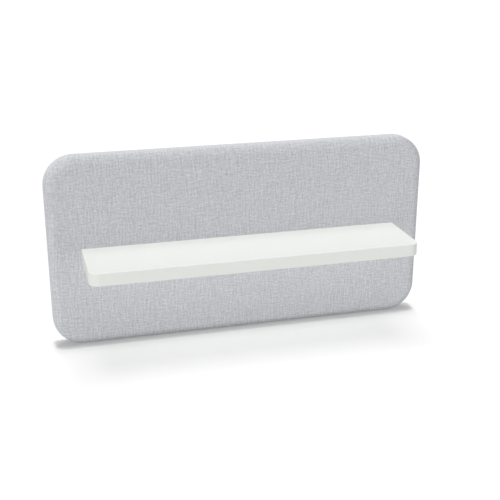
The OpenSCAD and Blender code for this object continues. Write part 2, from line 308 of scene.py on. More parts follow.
def blend(tree, share, a, b):
    """From the value a at share 0 to the value b at share 1."""
    return node(tree, "Mix", {0: share, 2: a, 3: b}, data_type="FLOAT").outputs[0]


def roundness(tree, place):
    """0 at a yarn's two sides and 1 at its middle, where place counts yarns."""
    return calc(tree, "SINE", calc(tree, "MULTIPLY", calc(tree, "FRACT", place), math.pi))


def bulge(tree, across, along):
    """Height of a yarn where it runs over another one: round across it, and arched along it."""
    arch = calc(tree, "MULTIPLY_ADD", along, 0.35, 0.65)
    return calc(tree, "MULTIPLY", calc(tree, "POWER", across, 0.6), arch)


def bump(tree, height, distance, strength=1.0):
    return node(
        tree, "Bump", {"Height": height, "Distance": distance, "Strength": strength},
    ).outputs["Normal"]


def seen_directly(tree):
    """1 for the rays that show a white background, which are the camera's, a mirror's and a glass's."""
    seen = node(tree, "LightPath")
    direct = calc(tree, "ADD", seen.outputs["Is Camera Ray"], seen.outputs["Is Glossy Ray"])
    direct = calc(tree, "ADD", direct, seen.outputs["Is Transmission Ray"])
    return calc(tree, "MINIMUM", direct, 1.0)


def material(name):
    """A new material, its node tree, its shader, and the place in metres on the object."""
    made = bpy.data.materials.new(name)
    made.use_nodes = True
    tree = made.node_tree
    shader = tree.nodes["Principled BSDF"]
    place = node(tree, "TexCoord").outputs["Object"]
    return made, tree, shader, place


# Materials

# The cloth's yarns: their pitch, how far they wander, how far apart in the noise their tones lie,
# how much they differ from their neighbours, and how much of the tone the fibres give
YARN = 0.0016
YARN_WANDER = 0.0008
YARN_APART = 5.37
YARN_CONTRAST = 0.4
FIBRE_SHARE = 0.15
CLOTH_LIGHT = (219, 221, 225)
CLOTH_DARK = (167, 168, 172)

# The lining's bonded points
BOND_PITCH = 0.0032


def yarn_tone(tree, number, along, seed):
    """Each yarn's own tone, which changes along it. It differs from the yarns two places away
    more than by chance."""
    tones = []
    for step in (-2, 0, 2):
        across = calc(tree, "MULTIPLY_ADD", number, YARN_APART, step * YARN_APART)
        tones.append(noise_value(tree, vector(tree, across, along, seed), 1.0, 2.5, 0.85))
    beside = calc(tree, "MULTIPLY", calc(tree, "ADD", tones[0], tones[2]), -YARN_CONTRAST)
    return calc(tree, "MULTIPLY_ADD", tones[1], 1 + 2 * YARN_CONTRAST, beside)


def melange_tone(tree, u, v, warp_no, weft_no, warp_on_top):
    """The tone from 0 to 1 of the yarn that lies on top, with the fibres that run along it."""
    warp_tone = yarn_tone(tree, warp_no, calc(tree, "MULTIPLY", v, 0.05), 3.0)
    weft_tone = yarn_tone(tree, weft_no, calc(tree, "MULTIPLY", u, 0.08), 9.0)
    tone = blend(tree, warp_on_top, weft_tone, warp_tone)
    tone = remap(tree, tone, 0.24, 0.76, 0.0, 1.0)
    warp_place = vector(tree, u, calc(tree, "MULTIPLY", v, 0.22))
    weft_place = vector(tree, calc(tree, "MULTIPLY", u, 0.22), v, 5.0)
    warp_fibre = noise_value(tree, warp_place, 9.0, 2.0, 0.6)
    weft_fibre = noise_value(tree, weft_place, 9.0, 2.0, 0.6)
    fibre = remap(tree, blend(tree, warp_on_top, weft_fibre, warp_fibre), 0.25, 0.75, 0.0, 1.0)
    return blend(tree, FIBRE_SHARE, tone, fibre)


def cloth_material():
    """Plain weave of slubbed melange yarns. It follows the flat cut, which the mesh carries
    as an attribute."""
    made, tree, shader, _ = material("melange_cloth")
    cut = node(tree, "Attribute", attribute_type="GEOMETRY", attribute_name="cut").outputs["Vector"]
    wander = node(tree, "TexNoise", {"Vector": cut, "Scale": 240.0, "Detail": 1.0}).outputs["Color"]
    moved = node(tree, "VectorMath", {0: wander, 2: cut}, operation="MULTIPLY_ADD")
    moved.inputs[1].default_value = (YARN_WANDER, YARN_WANDER, 0.0)
    split = node(tree, "SeparateXYZ", {0: moved.outputs[0]})
    u = calc(tree, "DIVIDE", split.outputs[0], YARN)
    v = calc(tree, "DIVIDE", split.outputs[1], YARN)
    warp_no, weft_no = calc(tree, "FLOOR", u), calc(tree, "FLOOR", v)
    warp_round, weft_round = roundness(tree, u), roundness(tree, v)
    warp_on_top = calc(tree, "PINGPONG", calc(tree, "ADD", warp_no, weft_no), 1.0)
    tone = melange_tone(tree, u, v, warp_no, weft_no, warp_on_top)

    # The yarn on top bulges over the one below it. Painted shade darkens each yarn towards its sides and
    # into the gaps between yarns
    warp_height = bulge(tree, warp_round, weft_round)
    weft_height = bulge(tree, weft_round, warp_round)
    height = blend(tree, warp_on_top, weft_height, warp_height)
    colour = mix(tree, tone, linear(CLOTH_DARK), linear(CLOTH_LIGHT))
    shade = remap(tree, height, 0.0, 1.0, 0.66, 1.09)
    colour = node(tree, "VectorMath", {0: colour, "Scale": shade}, operation="SCALE").outputs[0]
    join(tree, shader.inputs["Base Color"], colour)
    thick = calc(tree, "MULTIPLY", height, remap(tree, tone, 0.0, 1.0, 0.7, 1.0))
    join(tree, shader.inputs["Normal"], bump(tree, thick, 0.0004, 0.5))
    shader.inputs["Roughness"].default_value = 0.92
    shader.inputs["Specular IOR Level"].default_value = 0.15
    shader.inputs["Sheen Weight"].default_value = 0.06
    shader.inputs["Sheen Roughness"].default_value = 0.5
    return made


def plain_material(name, colour, roughness, metallic=0.0, spread=6, depth=0.00004, stretch=(1, 1, 1)):
    """A surface with a fine stretched grain. Its colour varies by spread levels, and its relief
    by depth."""
    made, tree, shader, place = material(name)
    fine = noise_value(tree, scaled(tree, place, stretch), 900.0, 3.0, 0.6)
    broad = noise_value(tree, place, 14.0, 2.0, 0.5)
    both = weighted(tree, fine, 0.6, broad, 0.4)
    dark = tuple(max(0, c - spread) for c in colour)
    light = tuple(min(255, c + spread) for c in colour)
    join(tree, shader.inputs["Base Color"], ramp(tree, both, (0.3, dark), (0.7, light)))
    rough = remap(tree, fine, 0.3, 0.7, roughness - 0.06, roughness + 0.06)
    join(tree, shader.inputs["Roughness"], rough)
    join(tree, shader.inputs["Normal"], bump(tree, fine, depth, 0.6))
    shader.inputs["Metallic"].default_value = metallic
    return made


def wood_material(name, dark, light, along):
    """Planed wood whose grain runs along X (0) or Z (2)."""
    made, tree, shader, place = material(name)
    stretch = [1.0, 1.0, 1.0]
    stretch[along] = 0.06
    grain_place = scaled(tree, place, stretch)
    bend = noise_value(tree, grain_place, 20.0, 2.0, 0.5)
    rings = noise_value(tree, grain_place, 150.0, 3.0, 0.55)
    bent_rings = calc(tree, "ADD", bend, calc(tree, "MULTIPLY", rings, 0.15))
    wave = calc(tree, "FRACT", calc(tree, "MULTIPLY", bent_rings, 9.0))
    pores = noise_value(tree, grain_place, 900.0, 2.0, 0.6)
    tone = weighted(tree, wave, 0.65, pores, 0.35)
    join(tree, shader.inputs["Base Color"], ramp(tree, tone, (0.1, light), (0.9, dark)))
    join(tree, shader.inputs["Normal"], bump(tree, pores, 0.00015, 0.5))
    shader.inputs["Roughness"].default_value = 0.65
    return made


def nonwoven_material():
    """Thin bonded fleece: short fibres lying every way, pressed together at small points
    in a diamond grid."""
    made, tree, shader, place = material("nonwoven_lining")
    split = node(tree, "SeparateXYZ", {0: place})
    x, z = split.outputs[0], split.outputs[2]
    turns = 2 * math.pi / BOND_PITCH
    one = calc(tree, "COSINE", calc(tree, "MULTIPLY", calc(tree, "ADD", x, z), turns))
    other = calc(tree, "COSINE", calc(tree, "MULTIPLY", calc(tree, "SUBTRACT", x, z), turns))
    points = remap(tree, calc(tree, "ADD", one, other), 0.9, 1.6, 0.0, 1.0)
    flow = noise_value(tree, place, 260.0, 2.0, 0.5)
    fibres = noise_value(tree, scaled(tree, place, (1.0, 1.0, 0.35)), 2400.0, 3.0, 0.7)
    tone = weighted(tree, fibres, 0.7, flow, 0.3)
    colour = ramp(tree, tone, (0.32, (58, 59, 61)), (0.68, (92, 93, 95)))
    colour = mix(tree, calc(tree, "MULTIPLY", points, 0.55), colour, linear((50, 51, 53)))
    join(tree, shader.inputs["Base Color"], colour)
    height = calc(tree, "SUBTRACT", calc(tree, "MULTIPLY", fibres, 0.5), points)
    join(tree, shader.inputs["Normal"], bump(tree, height, 0.0001, 0.6))
    join(tree, shader.inputs["Roughness"], remap(tree, points, 0.0, 1.0, 0.9, 0.6))
    shader.inputs["Specular IOR Level"].default_value = 0.25
    return made


def fibre_material(name, dark, light, lean):
    """Wadding or mineral fibre: matted fibres that mostly lie along the slab, with open gaps
    between them."""
    made, tree, shader, place = material(name)
    strands = noise_value(tree, scaled(tree, place, lean), 900.0, 4.0, 0.7)
    lumps = noise_value(tree, place, 60.0, 3.0, 0.6)
    tone = weighted(tree, strands, 0.7, lumps, 0.3)
    join(tree, shader.inputs["Base Color"], ramp(tree, tone, (0.3, dark), (0.68, light)))
    join(tree, shader.inputs["Normal"], bump(tree, tone, 0.0006, 0.7))
    shader.inputs["Roughness"].default_value = 0.95
    shader.inputs["Specular IOR Level"].default_value = 0.1
    return made


def chipboard_material():
    """Pressed chips, each with a tone of its own."""
    made, tree, shader, place = material("chipboard")
    chips = node(tree, "TexVoronoi", {"Vector": place, "Scale": 420.0}).outputs["Color"]
    tone = node(tree, "SeparateColor", {0: chips}).outputs[0]
    colour = ramp(tree, tone, (0.0, (150, 121, 86)), (1.0, (212, 184, 142)))
    join(tree, shader.inputs["Base Color"], colour)
    join(tree, shader.inputs["Normal"], bump(tree, tone, 0.0002, 0.5))
    shader.inputs["Roughness"].default_value = 0.8
    return made


def floor_material():
    """White for the camera, but the object's shadow stays on it. Other rays see a plain pale floor.
    From below it can be seen through."""
    made, tree, shader, _ = material("floor")
    tree.nodes.remove(shader)
    pale = node(tree, "BsdfDiffuse", {"Color": [FLOOR_PALE] * 3 + [1.0]}).outputs[0]
    catcher = node(tree, "BsdfDiffuse", {"Color": [FLOOR_CATCHER] * 3 + [1.0]}).outputs[0]
    glow = node(tree, "Emission", {"Color": [1.0] * 4, "Strength": FLOOR_GLOW}).outputs[0]
    white = node(tree, "AddShader", {0: catcher, 1: glow}).outputs[0]
    shown = node(tree, "MixShader", {0: seen_directly(tree), 1: pale, 2: white}).outputs[0]
    below = node(tree, "NewGeometry").outputs["Backfacing"]
    clear = node(tree, "BsdfTransparent").outputs[0]
    shown = node(tree, "MixShader", {0: below, 1: shown, 2: clear}).outputs[0]
    join(tree, tree.nodes["Material Output"].inputs["Surface"], shown)
    return made


def make_world(level):
    """An even white sky that lights by level and is seen as white."""
    world = bpy.data.worlds.new("world")
    bpy.context.scene.world = world
    world.use_nodes = True
    tree = world.node_tree
    strength = remap(tree, seen_directly(tree), 0.0, 1.0, level, 1.0)
    back = tree.nodes["Background"]
    back.inputs["Color"].default_value = (1.0, 1.0, 1.0, 1.0)
    join(tree, back.inputs["Strength"], strength)


# Meshes round the panel's outline

def core_corners():
    """The middles of the four round corners, from the top right one on, anticlockwise from the front."""
    core_x = PANEL_W / 2 - CORNER_R
    core_z = PANEL_H / 2 - CORNER_R
    return [(core_x, core_z), (-core_x, core_z), (-core_x, -core_z), (core_x, -core_z)]


def panel_stations():
    """Where the outline's points stand: a point on the core rectangle and an outward direction.
    They run from the middle of the top right corner, side by side."""
    corners = core_corners()
    half = CORNER_STEPS // 2
    bases, angles = [], []
    for side in range(4):
        start, end = np.array(corners[side]), np.array(corners[(side + 1) % 4])
        first = math.pi / 4 + side * math.pi / 2
        steps = LONG_STEPS if side % 2 == 0 else SHORT_STEPS
        for k in range(half):
            bases.append(start)
            angles.append(first + math.pi / 4 * k / half)
        for k in range(steps):
            bases.append(start + (end - start) * k / steps)
            angles.append(first + math.pi / 4)
        for k in range(half):
            bases.append(end)
            angles.append(first + math.pi / 4 + math.pi / 4 * k / half)
    angles = np.array(angles)
    return np.array(bases), np.stack([np.cos(angles), np.sin(angles)], 1)


BASES, OUTWARD = panel_stations()
SIDE_STEPS = [CORNER_STEPS + LONG_STEPS, CORNER_STEPS + SHORT_STEPS] * 2


def patch(ring):
    """Fills a ring of points, given as rows, with a grid. Returns the rows inside and the quads.
    A quad's numbers count the ring's rows first and then the new ones."""
    m, n = SIDE_STEPS[0], SIDE_STEPS[1]
    top = np.arange(0, m + 1)[::-1]
    left = np.arange(m, m + n + 1)[::-1]
    bottom = np.arange(m + n, 2 * m + n + 1)
    right = np.arange(2 * m + n, 2 * m + 2 * n + 1) % len(ring)
    number = np.full((m + 1, n + 1), -1)
    number[:, 0], number[:, n], number[0, :], number[m, :] = bottom, top, left, right
    number[1:m, 1:n] = len(ring) + np.arange((m - 1) * (n - 1)).reshape(m - 1, n - 1)
    s = (np.arange(m + 1) / m)[:, None, None]
    t = (np.arange(n + 1) / n)[None, :, None]
    low, high = ring[bottom][:, None], ring[top][:, None]
    west, east = ring[left][None], ring[right][None]
    whole = (1 - t) * low + t * high + (1 - s) * west + s * east
    whole = whole - (
        (1 - s) * (1 - t) * ring[bottom[0]] + s * (1 - t) * ring[bottom[-1]]
        + (1 - s) * t * ring[top[0]] + s * t * ring[top[-1]]
    )
    quads = [
        (number[i, j], number[i + 1, j], number[i + 1, j + 1], number[i, j + 1])
        for i in range(m) for j in range(n)
    ]
    return whole[1:m, 1:n].reshape(-1, ring.shape[1]), quads


def add_mesh(name, points, faces, smooth=True):
    """A new object in the scene from points and faces."""
    mesh = bpy.data.meshes.new(name)
    mesh.from_pydata([tuple(p) for p in points], [], [tuple(int(i) for i in f) for f in faces])
    mesh.validate()
    mesh.polygons.foreach_set("use_smooth", [smooth] * len(mesh.polygons))
    made = bpy.data.objects.new(name, mesh)
    bpy.context.scene.collection.objects.link(made)
    return made


def shell(name, profile, front=True, back=False):
    """A mesh of rings round the panel's outline. Each row of the profile is the ring's radius
    at a corner, its y and its distance from the core in the flat cut. Front and back say whether
    the first and the last ring are filled."""
    count = len(BASES)
    rows = []
    for radius, y, flat in profile:
        xz = BASES + OUTWARD * (np.asarray(radius).reshape(-1, 1))
        cut = BASES + OUTWARD * (np.asarray(flat).reshape(-1, 1))
        depth = np.broadcast_to(np.asarray(y), (count,))
        rows.append(np.column_stack([xz[:, 0], depth, xz[:, 1] + MID_Z, cut]))
    faces = []
    for j in range(len(rows) - 1):
        for i in range(count):
            k = (i + 1) % count
            faces.append(((j + 1) * count + i, (j + 1) * count + k, j * count + k, j * count + i))
    table = np.concatenate(rows)
    if front:
        inside, quads = patch(rows[0])
        new = len(table) - count
        faces += [tuple(q if q < count else q + new for q in quad) for quad in quads]
        table = np.concatenate([table, inside])
    if back:
        inside, quads = patch(rows[-1])
        last, new = (len(rows) - 1) * count, len(table) - count
        faces += [tuple(q + last if q < count else q + new for q in quad)[::-1] for quad in quads]
        table = np.concatenate([table, inside])
    made = add_mesh(name, table[:, :3], faces)
    attribute = made.data.attributes.new("cut", "FLOAT_VECTOR", "POINT")
    cut = np.column_stack([table[:, 3:5], np.zeros(len(table))])
    attribute.data.foreach_set("vector", cut.astype(np.float32).ravel())
    return made


def arc_steps(steps):
    """The angles of a quarter circle's points after its first."""
    return [math.pi / 2 * k / steps for k in range(1, steps + 1)]


def corner_share():
    """Where each station stands in its round corner, from 0 to 1. On the straight sides it is 0."""
    turn = np.degrees(np.arctan2(OUTWARD[:, 1], OUTWARD[:, 0])) % 90
    turn[(turn < 0.01) | (turn > 89.99)] = 0
    return turn / 90


def pleats(inset):
    """Height of the gathered cloth's pleats at each station. They stand only in the corners, and
    are as high as the surplus length at this distance from the edge makes them."""
    share = corner_share()
    number = np.floor(share * PLEATS)
    ridge = 1 - np.abs(2 * (share * PLEATS - number) - 1)
    seeds = [Vector((n * 1.7, x * 9, z * 9)) for n, (x, z) in zip(number, BASES)]
    each = np.array([1 + 0.5 * noise.noise(seed) for seed in seeds])
    turn = math.pi / 2 / PLEATS
    width = (CORNER_R - inset) * turn
    length = width + GATHER * (inset - BACK_R) * turn
    return math.sqrt(length ** 2 - width ** 2) / 2 * ridge * each


def scallops():
    """How far the cloth's cut edge draws back between its staples, at each station."""
    along = BASES[:, 0] * np.abs(OUTWARD[:, 1]) + BASES[:, 1] * np.abs(OUTWARD[:, 0])
    seeds = [Vector((x * 21, z * 21, 4.2)) for x, z in BASES + OUTWARD * CORNER_R]
    uneven = np.array([noise.noise(seed) for seed in seeds])
    between = (1 + np.cos(2 * np.pi * along / STAPLE_PITCH)) / 2
    return DRAWN * between + DRAWN_UNEVEN * (uneven + 0.5)


def cover_profile():
    """From the flat of the front over the round edge and the side to the turned-in end."""
    flat = CORNER_R - EDGE_R
    rows = [(flat - inward, FRONT_Y, flat - inward) for inward in (2 * RIM_STEP, RIM_STEP, 0)]
    for a in arc_steps(EDGE_STEPS):
        rows.append((
            CORNER_R - EDGE_R * (1 - math.sin(a)),
            FRONT_Y + EDGE_R * (1 - math.cos(a)),
            flat + EDGE_R * a,
        ))
    flat = rows[-1][2]
    side = PANEL_D - EDGE_R - BACK_R
    for share in (0.25, 0.5, 0.75, 1.0):
        rows.append((CORNER_R, FRONT_Y + EDGE_R + side * share, flat + side * share))
    flat = rows[-1][2]
    for a in arc_steps(BACK_EDGE_STEPS):
        rows.append((
            CORNER_R - BACK_R * (1 - math.cos(a)),
            BACK_Y - BACK_R * (1 - math.sin(a)),
            flat + BACK_R * a,
        ))
    flat = rows[-1][2]
    turned = TURN_W - BACK_R
    drawn = scallops()
    for k in range(1, TURN_STEPS + 1):
        share = k / TURN_STEPS
        inset = BACK_R + turned * share
        rows.append((
            CORNER_R - inset + drawn * share ** 4,
            BACK_Y + pleats(inset),
            flat + turned * share,
        ))
    return rows


def corner_columns(corner):
    """The stations of a round corner, from one end to the other."""
    middle = sum(SIDE_STEPS[:corner])
    half = CORNER_STEPS // 2
    return [(middle + k) % len(BASES) for k in range(-half, half + 1)]


def held_flat(inset):
    """Which columns of a corner are held flat at a distance from the edge: both ends, and
    the valleys where a staple lies in them."""
    share = np.linspace(0, PLEATS, CORNER_STEPS + 1)
    valley = np.abs(share - np.round(share)) < STAPLE_HOLD
    flat = valley & (abs(inset - STAPLE_IN) < STAPLE_CROWN / 2)
    flat[[0, -1]] = True
    return flat


def corner_grids(cover, first_row):
    """The turned-in cloth of the four corners as grids: where each point starts, where it would
    lie if nothing pressed the cloth together, which points are held, and each one's number
    in the cover."""
    start, loose, held, homes = [], [], [], []
    for corner in range(4):
        columns = corner_columns(corner)
        for row in range(TURN_STEPS + 1):
            inward = (TURN_W - BACK_R) * row / TURN_STEPS
            lift = math.sqrt(1 - (1 - GATHER) ** 2) * inward
            flat = held_flat(BACK_R + inward)
            for column, station in enumerate(columns):
                home = (first_row + row) * len(BASES) + station
                place = cover.data.vertices[home].co.copy()
                if flat[column]:
                    place.y = BACK_Y
                if flat[column] or row == 0:
                    held.append(len(start))
                reach = CORNER_R - BACK_R - (1 - GATHER) * inward
                x, z = BASES[station] + OUTWARD[station] * reach
                start.append(place * SIM_SCALE)
                loose.append(Vector((x, BACK_Y + lift, z + MID_Z)) * SIM_SCALE)
                homes.append(home)
    return start, loose, held, homes


def add_cloth(made, loose, held):
    """Makes an object cloth that is held at some points and whose own size is the loose one."""
    made.shape_key_add(name="start")
    own_size = made.shape_key_add(name="loose")
    for point, place in zip(own_size.data, loose):
        point.co = place
    own_size.value = 0
    made.vertex_groups.new(name="held").add(held, 1.0, "REPLACE")
    cloth = made.modifiers.new("gathers", "CLOTH")
    settings = cloth.settings
    settings.quality = 8
    settings.mass = 0.3
    settings.tension_stiffness = settings.compression_stiffness = 40
    settings.shear_stiffness = 8
    settings.bending_stiffness = 2.0
    settings.tension_damping = settings.compression_damping = 20
    settings.shear_damping = 10
    settings.air_damping = 8
    settings.vertex_group_mass = "held"
    settings.rest_shape_key = own_size
    settings.effector_weights.gravity = 0
    cloth.collision_settings.distance_min = SIM_GAP
    cloth.collision_settings.collision_quality = 4
    cloth.collision_settings.use_self_collision = True
    cloth.collision_settings.self_distance_min = SIM_GAP
    cloth.point_cache.frame_start = 1
    cloth.point_cache.frame_end = SIM_FRAMES


def gather_corners(cover, first_row):
    """Simulates the cloth that is turned in at the corners. It is too long for its place, so it
    gathers between its staples, on the frame's back. The result, smoothed once, goes into
    the cover's rows from first_row on."""
    rows, columns = TURN_STEPS + 1, CORNER_STEPS + 1
    start, loose, held, homes = corner_grids(cover, first_row)
    number = np.arange(len(start)).reshape(4, rows, columns)
    quads = np.stack([
        number[:, :-1, :-1], number[:, :-1, 1:], number[:, 1:, 1:], number[:, 1:, :-1],
    ], -1)
    gathers = add_mesh("gathers", start, quads.reshape(-1, 4))
    add_cloth(gathers, loose, held)
    low, high = COVER_LOW, COVER_HIGH
    bed = add_mesh("bed", [
        Vector((x, BACK_Y - CLOTH_T / 2, z)) * SIM_SCALE
        for x, z in ((low.x, high.z), (high.x, high.z), (high.x, low.z), (low.x, low.z))
    ], [(0, 1, 2, 3)], smooth=False)
    bed.modifiers.new("bed", "COLLISION")
    bed.collision.thickness_outer = SIM_GAP
    scene = bpy.context.scene
    for frame_number in range(1, SIM_FRAMES + 1):
        scene.frame_set(frame_number)
    settled = gathers.evaluated_get(bpy.context.evaluated_depsgraph_get())
    places = np.array([v.co / SIM_SCALE for v in settled.data.vertices])
    places = places.reshape(4, rows, columns, 3)
    bpy.data.objects.remove(gathers)
    bpy.data.objects.remove(bed)
    scene.frame_set(1)
    beside = (
        places[:, 2:, 1:-1] + places[:, :-2, 1:-1] + places[:, 1:-1, 2:] + places[:, 1:-1, :-2]
    )
    places[:, 1:-1, 1:-1] = places[:, 1:-1, 1:-1] / 2 + beside / 8
    for home, place in zip(homes, places.reshape(-1, 3)):
        cover.data.vertices[home].co = place


def pad_profile():
    """The pad's outline lies a cloth's thickness inside the cover's. It ends flat on the frame."""
    rows = [(CORNER_R - EDGE_R - RIM_STEP, PAD_LOW.y, 0), (CORNER_R - EDGE_R, PAD_LOW.y, 0)]
    r = EDGE_R - CLOTH_T
    for a in arc_steps(PAD_EDGE_STEPS):
        rows.append((CORNER_R - EDGE_R + r * math.sin(a), PAD_LOW.y + r * (1 - math.cos(a)), 0))
    rows.append((CORNER_R - CLOTH_T, PAD_HIGH.y, 0))
    rows.append((CORNER_R - CLOTH_T - RIM_STEP, PAD_HIGH.y, 0))
    return rows


def lining_profile():
    """From the folded edge over the hem's step down to the single layer."""
    edge = CORNER_R - LINING_IN
    return [(edge - inward, BACK_Y - depth, edge - inward) for inward, depth in HEM_STEPS]


def wave(place, scale, seed):
    """An even noise from -1 to 1 over x and z."""
    return noise.noise(Vector((place.x * scale, seed, place.z * scale)))


def soften(made, front_y, depth):
    """Lets the front of a soft piece give way here and there, by up to depth."""
    mesh = made.data
    for vertex in mesh.vertices:
        share = max(0.0, 1 - (vertex.co.y - front_y) / EDGE_R)
        if share > 0:
            vertex.co.y += depth * share * (wave(vertex.co, 11, 1.7) + 1) / 2


def bore(made, places, radius, low, high):
    """Cuts round holes along Y through a piece, at places given as (x, z). The fast solver
    keeps the cut attribute."""
    points, faces = [], []
    for x, z in places:
        first = len(points)
        for k in range(HOLE_STEPS):
            a = 2 * math.pi * k / HOLE_STEPS
            points += [(x + radius * math.cos(a), y, z + radius * math.sin(a)) for y in (low, high)]
        ring = [first + 2 * k for k in range(HOLE_STEPS)]
        faces += [(i, i + 1, j + 1, j) for i, j in zip(ring, ring[1:] + ring[:1])]
        faces += [tuple(ring), tuple(i + 1 for i in reversed(ring))]
    cutter = add_mesh("cutter", points, faces, smooth=False)
    cut = made.modifiers.new("holes", "BOOLEAN")
    cut.operation = "DIFFERENCE"
    cut.solver = "FAST"
    cut.object = cutter
    seen = made.evaluated_get(bpy.context.evaluated_depsgraph_get())
    cut_mesh = bpy.data.meshes.new_from_object(seen)
    made.modifiers.clear()
    made.data = cut_mesh
    bpy.data.objects.remove(cutter)


def thicken(made, thickness):
    """Gives a sheet its thickness, on its inner side."""
    thick = made.modifiers.new("thickness", "SOLIDIFY")
    thick.thickness = thickness
    thick.offset = -1


def make_cover(finish):
    """The upholstery cloth: one sheet over the front, turned in at the back."""
    profile = cover_profile()
    cover = shell("cloth", profile)
    gather_corners(cover, len(profile) - 1 - TURN_STEPS)
    soften(cover, FRONT_Y, SOFT_GIVE)
    thicken(cover, STRETCHED * CLOTH_T)
    cover.data.materials.append(finish)
    through = COVER_LOW.y + 2 * BORE_PAST
    bore(cover, ROD_PLACES, ROD_R + BORE_PLAY, COVER_LOW.y - BORE_PAST, through)
    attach(cover, "panel")
    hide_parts("cloth_cover")


def make_lining(finish):
    """The hemmed sheet over the open back."""
    profile = lining_profile()
    lining = shell("lining", profile, front=False, back=True)
    inner = profile[-1][1]
    for vertex in lining.data.vertices:
        if abs(vertex.co.y - inner) < 1e-6:
            vertex.co.y -= LINING_GIVE * (wave(vertex.co, 16, 5.1) + 1)
    thicken(lining, LINING_T)
    lining.data.materials.append(finish)
    bore(lining, SCREW_PLACES, RAIL_SCREW_BORE_R, BACK_Y - BORE_PAST, BACK_Y + BORE_PAST)
    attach(lining, "panel")
    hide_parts("back_lining")


def make_pad(finish):
    """The soft pad under the cloth, which the shelf's rods pass through."""
    pad = shell("pad", pad_profile(), back=True)
    soften(pad, PAD_LOW.y, SOFT_GIVE)
    pad.data.materials.append(finish)
    bore(pad, ROD_PLACES, ROD_R + BORE_PLAY, PAD_LOW.y - BORE_PAST, PAD_HIGH.y + BORE_PAST)
    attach(pad, "panel")
    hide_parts("front_pad")


def make_slab(name, node_name, side, finish):
    """A slab with its corners cut out round the frame's corner blocks. Side is 1 above the cross
    rail and -1 below."""
    low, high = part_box(node_name)
    block_low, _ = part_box("corner_block_top_right")
    step_x = block_low.x - SLAB_PLAY
    step_z = side * (block_low.z - SLAB_PLAY - MID_Z)
    near, far = (low.z, high.z) if side > 0 else (high.z, low.z)
    corner_z = MID_Z + step_z
    outline = [
        (low.x, near), (high.x, near), (high.x, corner_z), (step_x, corner_z),
        (step_x, far), (-step_x, far), (-step_x, corner_z), (low.x, corner_z),
    ][::side]
    count = len(outline)
    points = [(x, y, z) for y in (low.y, high.y) for x, z in outline]
    faces = [tuple(range(count)), tuple(reversed(range(count, 2 * count)))]
    faces += [((k + 1) % count, k, k + count, (k + 1) % count + count) for k in range(count)]
    slab = add_mesh(name, points, faces, smooth=True)
    round_edge = slab.modifiers.new("soft_edge", "BEVEL")
    round_edge.width = SLAB_EDGE_R
    round_edge.segments = 3
    split = slab.modifiers.new("crisp", "EDGE_SPLIT")
    split.split_angle = SLAB_CRISP
    slab.data.materials.append(finish)
    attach(slab, "panel")
    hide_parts(node_name)


# Staples

def edge_places(inset, pitch, corner_shares):
    """Places round the panel at a distance from its edge: x, z, the edge's direction and whether
    it is a corner."""
    corners = core_corners()
    radius = CORNER_R - inset
    places = []
    for side in range(4):
        (x, z), (next_x, next_z) = corners[side], corners[(side + 1) % 4]
        for share in corner_shares:
            a = (side + share) * math.pi / 2
            places.append((
                x + radius * math.cos(a),
                MID_Z + z + radius * math.sin(a),
                a + math.pi / 2, True,
            ))
        a = (side + 1) * math.pi / 2
        count = round(math.hypot(next_x - x, next_z - z) / pitch)
        for k in range(count):
            share = (k + 0.5) / count
            places.append((
                x + (next_x - x) * share + radius * math.cos(a),
                MID_Z + z + (next_z - z) * share + radius * math.sin(a),
                a + math.pi / 2, False,
            ))
    return places


def staple_mesh(name, places, lift, finish):
    """Bent wire staples driven in from behind. Each place is x, z and the crown's direction,
    and the lift is how far the crowns stand off the frame's back."""
    half, bend, corner = STAPLE_CROWN / 2, STAPLE_BEND, 0.3 * STAPLE_BEND
    path = [(-half, STAPLE_LEG), (-half, bend), (-half + corner, corner), (-half + bend, 0)]
    path += [(-s, d) for s, d in reversed(path)]
    points, faces = [], []
    for x, z, direction in places:
        first = len(points)
        for k, (s, d) in enumerate(path):
            back, ahead = path[max(k - 1, 0)], path[min(k + 1, len(path) - 1)]
            run = Vector((ahead[0] - back[0], ahead[1] - back[1])).normalized()
            for across, out in ((-1, -1), (1, -1), (1, 1), (-1, 1)):
                along = s + out * STAPLE_T / 2 * run.y
                depth = d - out * STAPLE_T / 2 * run.x
                side = across * STAPLE_W / 2
                points.append((
                    x + along * math.cos(direction) - side * math.sin(direction),
                    BACK_Y + lift + STAPLE_T / 2 - depth,
                    z + along * math.sin(direction) + side * math.cos(direction),
                ))
        for k in range(len(path) - 1):
            ring, following = first + 4 * k, first + 4 * (k + 1)
            for c in range(4):
                n = (c + 1) % 4
                faces.append((ring + c, ring + n, following + n, following + c))
        faces.append(tuple(first + c for c in (3, 2, 1, 0)))
        faces.append(tuple(first + 4 * (len(path) - 1) + c for c in range(4)))
    made = add_mesh(name, points, faces, smooth=False)
    rim = made.modifiers.new("round", "BEVEL")
    rim.width = STAPLE_RIM
    rim.segments = 2
    made.data.materials.append(finish)
    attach(made, "panel")
    return made


def make_staples(finish):
    """In the corners the cloth's staples lie in the valleys between its pleats. Under the rail
    the lining has none, for the rail holds it."""
    valleys = [n / PLEATS for n in range(1, PLEATS)]
    places = []
    for k, (x, z, direction, corner) in enumerate(edge_places(STAPLE_IN, STAPLE_PITCH, valleys)):
        tilt = STAPLE_TILT * noise.noise(Vector((k * 3.3, 0.4, 2.2)))
        if corner:
            tilt = tilt / 4 + math.pi / 2
        places.append((x, z, direction + tilt))
    staple_mesh("cloth_staples", places, 0.0, finish)

    spread = edge_places(LINING_STAPLE_IN, LINING_STAPLE_PITCH, (0.25, 0.75))
    places = []
    for k, (x, z, direction, _) in enumerate(spread):
        tilt = LINING_STAPLE_TILT * noise.noise(Vector((k * 2.9, 7.4, 1.2)))
        if abs(x) > RAIL_HIGH.x + RAIL_CLEAR or z < RAIL_LOW.z - RAIL_CLEAR:
            places.append((x, z, direction + tilt))
    staple_mesh("lining_staples", places, LINING_STAPLE_LIFT, finish)


